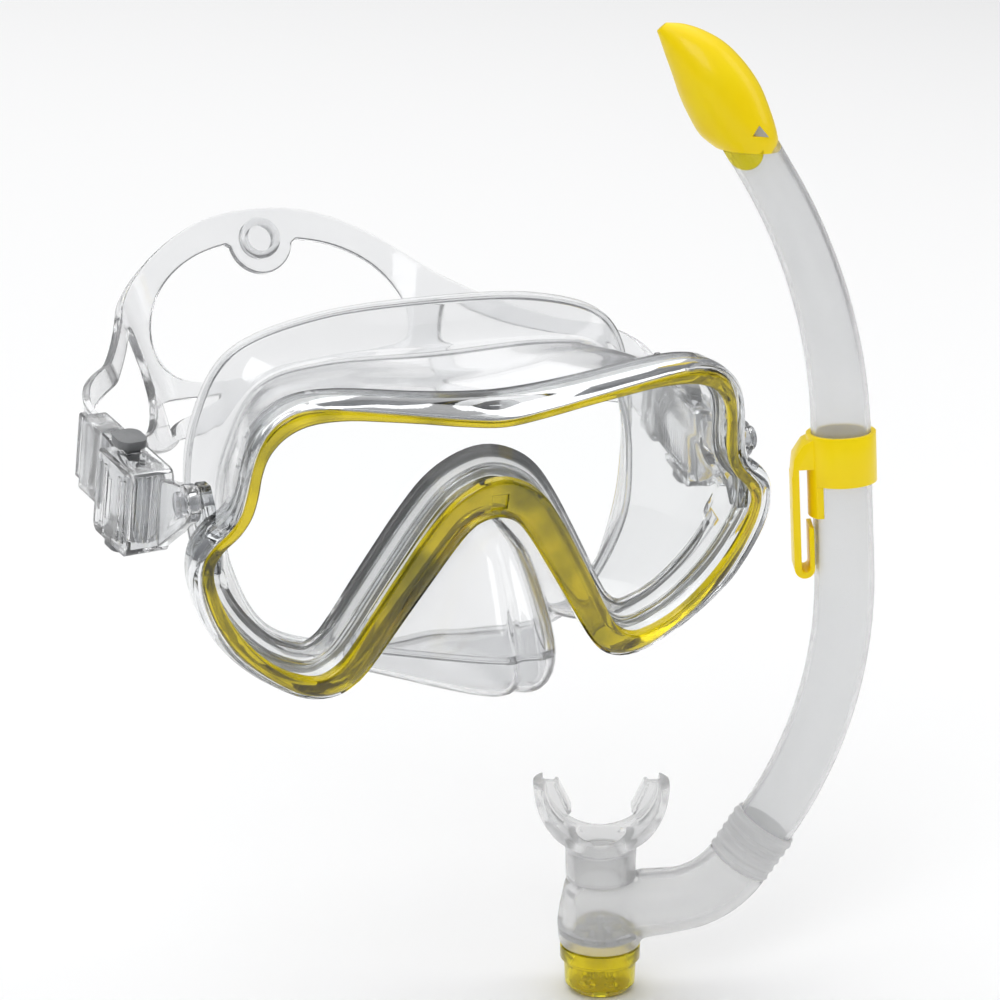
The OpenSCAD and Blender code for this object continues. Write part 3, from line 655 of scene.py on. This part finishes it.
STRAP_REF, BACK_R, BACK_Y, BACK_TURN = 33, 140, 117, 16.2
CORNER_R, SIDE_TURN = 24, 64.5
LEAN_ANGLE = math.radians(22)
LEAN = math.tan(LEAN_ANGLE)
STRAP_THICK, STRAP_EDGE = 2.6, 0.55
CUT_X = 90
UPPER_EDGE = [
    (0, 61), (11, 60.4), (22, 58), (34, 52.8), (44, 46.5), (54, 39.5), (62, 35.5), (72, 33), (84, 32.6),
    (97, 33)]
LOWER_EDGE = [(97, 12.5), (84, 11.5), (70, 8), (58, 2), (48, -2), (38, -3.6), (20, -3.4), (0, -3)]
WINDOW_HALF = [(0, 10), (15, 10.4), (28, 11.6), (37, 14.8), (42.3, 20.5), (43.6, 28), (40.5, 36), (34, 43),
               (24, 48.3), (12, 51), (0, 51.6)]
SIDE_WINDOW = [(53.8, 32.5), (51, 26), (49.6, 19), (50, 12.5), (54, 8.6), (61, 8.4), (71, 12.6), (79, 19),
               (81.4, 23.4), (76, 26), (66, 28), (58, 30.4)]
LOW_WINDOW = [(45.5, 8.3), (45.2, 0.2), (43, -0.4), (34, 2.4), (21, 5.6), (21, 6.8), (34, 7.6)]
EYELET_Z, TAB_R = 52, 10.6


def wall_at(s):
    """Strap's middle line at a distance s from the middle of the back: x, y and outward angle from +Y."""
    sign = 1 if s >= 0 else -1
    s = abs(s)
    turn, side = math.radians(BACK_TURN), math.radians(SIDE_TURN)
    back_len = BACK_R * turn
    corner_len = CORNER_R * (side - turn)
    cx = (BACK_R - CORNER_R) * math.sin(turn)
    cy = BACK_Y - BACK_R + (BACK_R - CORNER_R) * math.cos(turn)
    if s < back_len:
        a = s / BACK_R
        x, y = BACK_R * math.sin(a), BACK_Y - BACK_R + BACK_R * math.cos(a)
    elif s < back_len + corner_len:
        a = turn + (s - back_len) / CORNER_R
        x, y = cx + CORNER_R * math.sin(a), cy + CORNER_R * math.cos(a)
    else:
        a, run = side, s - back_len - corner_len
        x = cx + CORNER_R * math.sin(a) + run * math.cos(a)
        y = cy + CORNER_R * math.cos(a) - run * math.sin(a)
    return sign * x, y, sign * a


def strap_point(s, z, q=0):
    """Point of the leaning strap wall, q outward from its middle surface."""
    x, y, a = wall_at(s)
    out = (z - STRAP_REF) * LEAN
    c = math.cos(LEAN_ANGLE)
    nx, ny = math.sin(a), math.cos(a)
    return [x + (out + q * c) * nx, y + (out + q * c) * ny, z - q * LEAN * c]


def eased(t):
    """0 to 1 with a soft start and end."""
    t = min(1, t)
    return t * t * (3 - 2 * t)


def unrolled(p):
    """Distance along the strap for a point given by its x and height."""
    low, high = 0.0, 160.0
    for _ in range(40):
        mid = (low + high) / 2
        if strap_point(mid, p[1])[0] < abs(p[0]):
            low = mid
        else:
            high = mid
    return (low if p[0] >= 0 else -low), p[1]


def tab_window():
    """The big window with the round tab of the eyelet standing into it."""
    half = smooth_line(WINDOW_HALF, 6)
    right = [p for p in half if math.hypot(p[0], p[1] - EYELET_Z) > TAB_R + 0.6]
    first, lowest, steps = math.atan2(right[-1][1] - EYELET_Z, right[-1][0]), -math.pi / 2, 14
    for k in range(1, steps + 1):
        a = first + (lowest - first) * k / steps
        right.append((TAB_R * math.cos(a), EYELET_Z + TAB_R * math.sin(a)))
    return right + [(-x, z) for x, z in right[-2:0:-1]]


def strap_loops():
    """Outline of the strap with the big window, the side windows and the low windows in it."""
    half = [p for p in smooth_line(UPPER_EDGE, 5) + smooth_line(LOWER_EDGE, 5) if p[0] < CUT_X]
    loops = [half + [flip(p) for p in half[-2:0:-1]], tab_window()]
    for sign in (1, -1):
        for hole in (smooth_loop(SIDE_WINDOW, 4), LOW_WINDOW):
            loops.append([[sign * p[0], p[1]] for p in hole])
    return loops


def slice_mesh(bm, place, direction):
    """Adds an edge all round the mesh where a plane crosses it, so that it can bend there."""
    everything = bm.verts[:] + bm.edges[:] + bm.faces[:]
    bmesh.ops.bisect_plane(bm, geom=everything, plane_co=place, plane_no=direction, dist=0.001)


def make_strap_band():
    """Strap with its windows: filled flat, sliced and wrapped round the line of the head."""
    data = bpy.data.curves.new("strap_flat", "CURVE")
    data.dimensions = "2D"
    data.fill_mode = "BOTH"
    data.extrude = STRAP_THICK / 2 - STRAP_EDGE
    data.bevel_depth = STRAP_EDGE
    data.bevel_resolution = 2
    data.offset = -STRAP_EDGE
    for loop in strap_loops():
        flat = [unrolled(p) for p in loop]
        spline = data.splines.new("POLY")
        spline.points.add(len(flat) - 1)
        spline.use_cyclic_u = True
        for k, (s, z) in enumerate(flat):
            spline.points[k].co = (s, z, 0, 1)
    obj = bpy.data.objects.new("strap_flat", data)
    bpy.context.scene.collection.objects.link(obj)
    pick(obj)
    bpy.ops.object.convert(target="MESH")
    band = bpy.context.object
    bpy.ops.object.mode_set(mode="EDIT")
    bpy.ops.mesh.select_all(action="SELECT")
    bpy.ops.mesh.remove_doubles(threshold=0.01)
    bpy.ops.object.mode_set(mode="OBJECT")
    bm = bmesh.new()
    bm.from_mesh(band.data)
    for k in range(-58, 59):
        slice_mesh(bm, (k * 2.5, 0, 0), (1, 0, 0))
    for k in range(14):
        slice_mesh(bm, (0, -2 + k * 5, 0), (0, 1, 0))
    bmesh.ops.triangulate(bm, faces=[f for f in bm.faces if len(f.verts) > 4])
    for v in bm.verts:
        s, z, q = v.co
        v.co = [c * MM for c in band_to_buckle(s, z, q)]
    bm.to_mesh(band.data)
    bm.free()
    band.name = "strap_band"
    outward(band)
    finish_piece(band, "head_strap", "strap_silicone", "strap", smooth=40)


# ---------- buckle frame of reference ----------

BUCKLE, BUCKLE_TURN, BUCKLE_RISE = (88, -8, 9), math.radians(8), math.radians(12)
ROLLER_Y, ROLLER_D = -3, 4.3
LOOP_IN = ROLLER_D / 2 + 0.35
LOOP_OUT = LOOP_IN + STRAP_THICK - 0.2
TAIL_HALF, TAIL_START = 10, 31


def buckle_matrix(side):
    """Buckle space: x outward, y back along the strap, z up, in millimetres."""
    turned = Matrix.Rotation(-BUCKLE_TURN, 4, "Z") @ Matrix.Rotation(BUCKLE_RISE, 4, "X")
    m = Matrix.Translation(BUCKLE) @ turned
    return m if side > 0 else Matrix.Scale(-1, 4, (1, 0, 0)) @ m


def band_to_buckle(s, z, q):
    """Strap wall that turns, near its end, into the upright tail coming out of the buckle."""
    side = 1 if s >= 0 else -1
    a = abs(s)
    start, end = 108, 142
    p = Vector(strap_point(s, z, q))
    if a < start:
        return p
    weight = eased((a - start) / (end - start))
    middle, reach = 22.4, 10.3
    tail_share = 0.92
    up = max(-1, min(1, (z - middle) / reach))
    local = Vector((q * tail_share - (LOOP_IN + LOOP_OUT) / 2, TAIL_START + end - a, up * TAIL_HALF))
    return p.lerp(buckle_matrix(side) @ local, weight)


def make_strap_tails(side):
    """Strap end: through the sleeve, round the roller with its grip teeth, and back through the sleeve."""
    mid, half = (LOOP_IN + LOOP_OUT) / 2, (LOOP_OUT - LOOP_IN) / 2
    step, gap, edge = 0.475, 0.3, 0.5
    path = [(-mid, TAIL_START + 0.6, -1, 0)]
    y = TAIL_START
    while y > ROLLER_Y + 0.2:
        path.append((-mid, y, -1, 0))
        y -= step
    for k in range(41):
        a = math.radians(180 + 180 * k / 40)
        path.append((mid * math.cos(a), ROLLER_Y + mid * math.sin(a), math.cos(a), math.sin(a)))
    inner = -LOOP_IN + (LOOP_OUT - LOOP_IN) + gap - half
    crossing, steps = 23.5, 23
    for k in range(1, steps + 1):
        t = k / steps
        path.append((mid + (inner - mid) * eased(t), ROLLER_Y + crossing * t, 1, 0))
    for k in range(1, 9):
        path.append((inner, ROLLER_Y + crossing + 2 * k, 1, 0))
    rows = []
    for k, (x, y, nx, ny) in enumerate(path):
        has_tooth = k % 4 in (0, 1) and 26 < k < 108
        outer = half + (0.42 if has_tooth else 0)
        corners = [(outer, TAIL_HALF - edge), (outer - edge, TAIL_HALF), (edge - half, TAIL_HALF),
                   (-half, TAIL_HALF - edge)]
        ring = [(d, -z) for d, z in corners] + corners[::-1]
        rows.append([buckle_matrix(side) @ Vector((x + nx * d, y + ny * d, z)) for d, z in ring])
    obj = from_rows(f"strap_tail_{'left' if side > 0 else 'right'}", rows, caps=True)
    outward(obj)
    return finish_piece(obj, "head_strap", "strap_silicone", smooth=35)


def make_eyelet():
    """Raised ring round the hanging hole in the strap's tab."""
    centre = Vector(strap_point(0, EYELET_Z))
    tilt = Matrix.Translation(centre) @ Matrix.Rotation(-math.radians(90) - LEAN_ANGLE, 4, "X")
    profile = [(4.4, -2.1), (4.4, 2.1), (4.7, 2.1), (6.0, 2.1), (6.6, 1.6), (6.6, 1.0), (6.6, -1.0),
               (6.6, -1.6), (6.0, -2.1), (4.7, -2.1)]
    rows = [[tilt @ Vector((r * math.cos(a), r * math.sin(a), z)) for r, z in profile]
            for a in [2 * math.pi * k / 72 for k in range(72)]]
    obj = from_rows("strap_eyelet_ring", rows, close_rows=True)
    outward(obj)
    return finish_piece(obj, "head_strap", "strap_silicone", smooth=40)


# ---------- snorkel ----------

SNORKEL_AT, SNORKEL_TURN = (157.4, 23.5, 0), math.radians(25)
TUBE_AT, TUBE_LEAN = (0.4, -27, 0), math.radians(3)
TUBE_R, TUBE_TOP_R, TUBE_LOW_R, TUBE_WALL = 9.5, 8.1, 9.6, 1.5
TOP_BEND_R, TOP_TURN = 175, math.radians(28)
LOW_BEND_R, LOW_TURN = 145, math.radians(36)
STRAIGHT_HALF = 23
CAP_RINGS = [
    ((-42.2, 85.6), (-22.6, 84.3), 10.2), ((-47, 89.5), (-22.7, 88.5), 11.4),
    ((-50.6, 95.5), (-24.6, 95.2), 12), ((-53.2, 101), (-28.4, 104.4), 11.8),
    ((-54.8, 105.5), (-33.5, 111.8), 11), ((-56.4, 110), (-39.4, 117.6), 9.2),
    ((-58, 114.2), (-46, 121.4), 7), ((-59.3, 118), (-52.2, 123.4), 4.4),
    ((-60.5, 121.2), (-57.6, 123.8), 1.6)]


def snorkel_matrix():
    """Snorkel space: x across, y up, z toward the front of the mask."""
    return (Matrix.Translation(SNORKEL_AT) @ Matrix.Rotation(-SNORKEL_TURN, 4, "Z")
            @ Matrix.Rotation(math.radians(90), 4, "X"))


def tube_matrix():
    """Tube space: y up the straight middle stretch of the tube, from its middle."""
    return snorkel_matrix() @ Matrix.Translation(TUBE_AT) @ Matrix.Rotation(TUBE_LEAN, 4, "Z")


def tube_stations():
    """Along the tube from the cuff up: centre x and y, lean, outside radius."""
    out = []
    for k in range(9, 0, -1):
        a = -LOW_TURN
        cx, cy = LOW_BEND_R * (math.cos(a) - 1), -STRAIGHT_HALF + LOW_BEND_R * math.sin(a)
        out.append((cx + k * math.sin(a), cy - k * math.cos(a), a, TUBE_LOW_R + 0.05))
    for k in range(30):
        a = -LOW_TURN * (1 - k / 30)
        out.append((LOW_BEND_R * (math.cos(a) - 1), -STRAIGHT_HALF + LOW_BEND_R * math.sin(a), a, TUBE_LOW_R))
    for k in range(12):
        out.append((0, -STRAIGHT_HALF + 2 * STRAIGHT_HALF * k / 11, 0, TUBE_R + 0.1 * (1 - k / 11) * (k < 2)))
    for k in range(1, 31):
        a = TOP_TURN * k / 30
        out.append((TOP_BEND_R * (math.cos(a) - 1), STRAIGHT_HALF + TOP_BEND_R * math.sin(a), a,
                    TUBE_R + (TUBE_TOP_R - TUBE_R) * k / 30))
    last = out[-1]
    for k in range(1, 8):
        a = TOP_TURN
        out.append((last[0] - 2 * k * math.sin(a), last[1] + 2 * k * math.cos(a), a, TUBE_TOP_R))
    return out


def ring_at(m, x, y, lean, r, count=64):
    """Ring of radius r round the tube's middle line, leaning with it."""
    return [m @ Vector((x + r * math.cos(b) * math.cos(lean), y + r * math.cos(b) * math.sin(lean),
                        r * math.sin(b))) for b in [2 * math.pi * j / count for j in range(count)]]


def make_tube():
    """Hollow tube, straight in the middle and bent at both ends."""
    m = tube_matrix()
    stations = tube_stations()
    rows = [ring_at(m, *s) for s in stations]
    rows += [ring_at(m, x, y, a, r - TUBE_WALL) for x, y, a, r in stations[::-1]]
    obj = from_rows("breathing_tube", rows, close_rows=True)
    outward(obj)
    add_modifier(obj, "BEVEL", width=0.35 * MM, segments=2, limit_method="ANGLE",
                 angle_limit=math.radians(50))
    return finish_piece(obj, "tube", "frosted_tube", "snorkel_tube", smooth=40)


def top_matrix():
    """End of the tube's upper bend, with y along the tube."""
    c, s = math.cos(TOP_TURN), math.sin(TOP_TURN)
    place = Matrix.Translation((TOP_BEND_R * (c - 1), STRAIGHT_HALF + TOP_BEND_R * s, 0))
    return tube_matrix() @ place @ Matrix.Rotation(TOP_TURN, 4, "Z")


def low_matrix():
    """End of the tube's lower bend, with y along the tube."""
    c, s = math.cos(LOW_TURN), math.sin(LOW_TURN)
    place = Matrix.Translation((LOW_BEND_R * (c - 1), -STRAIGHT_HALF - LOW_BEND_R * s, 0))
    return tube_matrix() @ place @ Matrix.Rotation(-LOW_TURN, 4, "Z")


def cap_rows(wall, rings, sides=72):
    """Rings of the cap's outside, or of its inside when wall is above zero."""
    m = snorkel_matrix()
    rows = []
    for left, right, depth in rings:
        cx, cy = (left[0] + right[0]) / 2, (left[1] + right[1]) / 2
        hx, hy = (right[0] - left[0]) / 2, (right[1] - left[1]) / 2
        k = 1 - wall / math.hypot(hx, hy)
        ring = []
        for j in range(sides):
            a = 2 * math.pi * j / sides
            across = k * math.cos(a)
            ring.append(m @ Vector((cx + across * hx, cy + across * hy, (depth - wall) * math.sin(a))))
        rows.append(ring)
    return rows


CAP_WALL = 1.7
CAP_WINDOW = [(-29.3, 93.6), (-26.2, 89.9), (-31.4, 90.3)]


def make_cap():
    """Splash cap: a hollow leaf shape over the tube's end, with a three-cornered window in its face."""
    outside = smooth_rows(cap_rows(0, CAP_RINGS), 5)
    inside = smooth_rows(cap_rows(CAP_WALL, CAP_RINGS[:-2]), 5)
    obj = from_rows("splash_cap_leaf", inside[::-1] + outside, caps=True)
    outward(obj)
    m = snorkel_matrix()

    def window_ends(*depths):
        return [[m @ Vector((x, y, z)) for x, y in CAP_WINDOW] for z in depths]

    cut_away(obj, window_ends(4, 20))
    finish_piece(obj, "tube", "yellow_plastic", "splash_cap", smooth=40)
    window = from_rows("cap_window", window_ends(5, 9.2), caps=True)
    outward(window)
    finish_piece(window, "tube", "white_silicone", smooth=30)


def make_cap_tab():
    """Round tab of the cap that lies against the back of the tube."""
    m = top_matrix()
    centre, reach, drop, top = -2.5, 5.6, 11, 14
    outer_r, inner_r = 9.6, 8.25
    rows = []
    for k in range(25):
        x = centre - reach * math.cos(math.pi * k / 24)
        low = drop - math.sqrt(max(0.0, reach ** 2 - (x - centre) ** 2))
        outer, inner = math.sqrt(outer_r ** 2 - x ** 2), math.sqrt(inner_r ** 2 - min(x * x, 66))
        corners = ((low, inner), (low, outer), (top, outer), (top, inner))
        rows.append([m @ Vector((x, y, z)) for y, z in corners])
    tab = from_rows("splash_cap_tab", rows, caps=True)
    outward(tab)
    finish_piece(tab, "tube", "yellow_clear", smooth=40)


def make_cuff():
    """Ribbed cuff: a sleeve turned round the end of the tube, with five soft ribs."""
    m = low_matrix()
    over_tube, over_elbow, end = 9.72, 9.25, -16.5
    first, span, pitch, height = -16.2, 16, 3.3, 0.5
    profile = [(over_tube, 0.0), (over_tube, -9.3), (over_elbow, -9.5), (over_elbow, end), (10.2, end)]
    for k in range(66):
        y = first + span * k / 65
        bulge = max(0.0, math.sin(2 * math.pi * (y - first) / pitch))
        profile.append((10.35 + 0.012 * (y - end) + height * bulge ** 0.6, y))
    profile.append((10.1, 0.0))
    turns = [2 * math.pi * j / 96 for j in range(96)]
    rows = [[m @ Vector((r * math.cos(a), y, r * math.sin(a))) for r, y in profile] for a in turns]
    obj = from_rows("cuff_sleeve", rows, close_rows=True)
    outward(obj)
    finish_piece(obj, "lower_tube", "white_silicone", "ribbed_cuff", smooth=40)


def make_all():
    add_camera()
    add_studio()
    add_floor()
    make_lens()
    make_frame()
    make_lugs()
    make_trim()
    make_skirt()
    make_strap_band()
    for side in (-1, 1):
        make_strap_tails(side)
    make_eyelet()
    make_tube()
    for node in ("buckle_arm_right", "buckle_arm_left", "buckle_housing_right", "buckle_housing_left"):
        rounded_node(node, 0.5, 3)
    for node in ("strap_keeper_right", "strap_keeper_left"):
        rounded_node(node, 0.3, 2)
    for node in ("pivot_pin_right", "pivot_pin_left", "purge_cap", "purge_seat", "purge_flap",
                 "strap_roller_right", "strap_roller_left"):
        rounded_node(node, 0.25, 2)
    for side in ("right", "left"):
        for level in ("upper", "lower"):
            rounded_node(f"release_button_{side}_{level}", 0.5, 3)
    rounded_node("snorkel_keeper", 0.35, 2)
    soft_node("elbow", 0.7, 8)
    soft_node("mouthpiece", 0.5, 6)
    make_cuff()
    make_cap()
    make_cap_tab()


make_all()
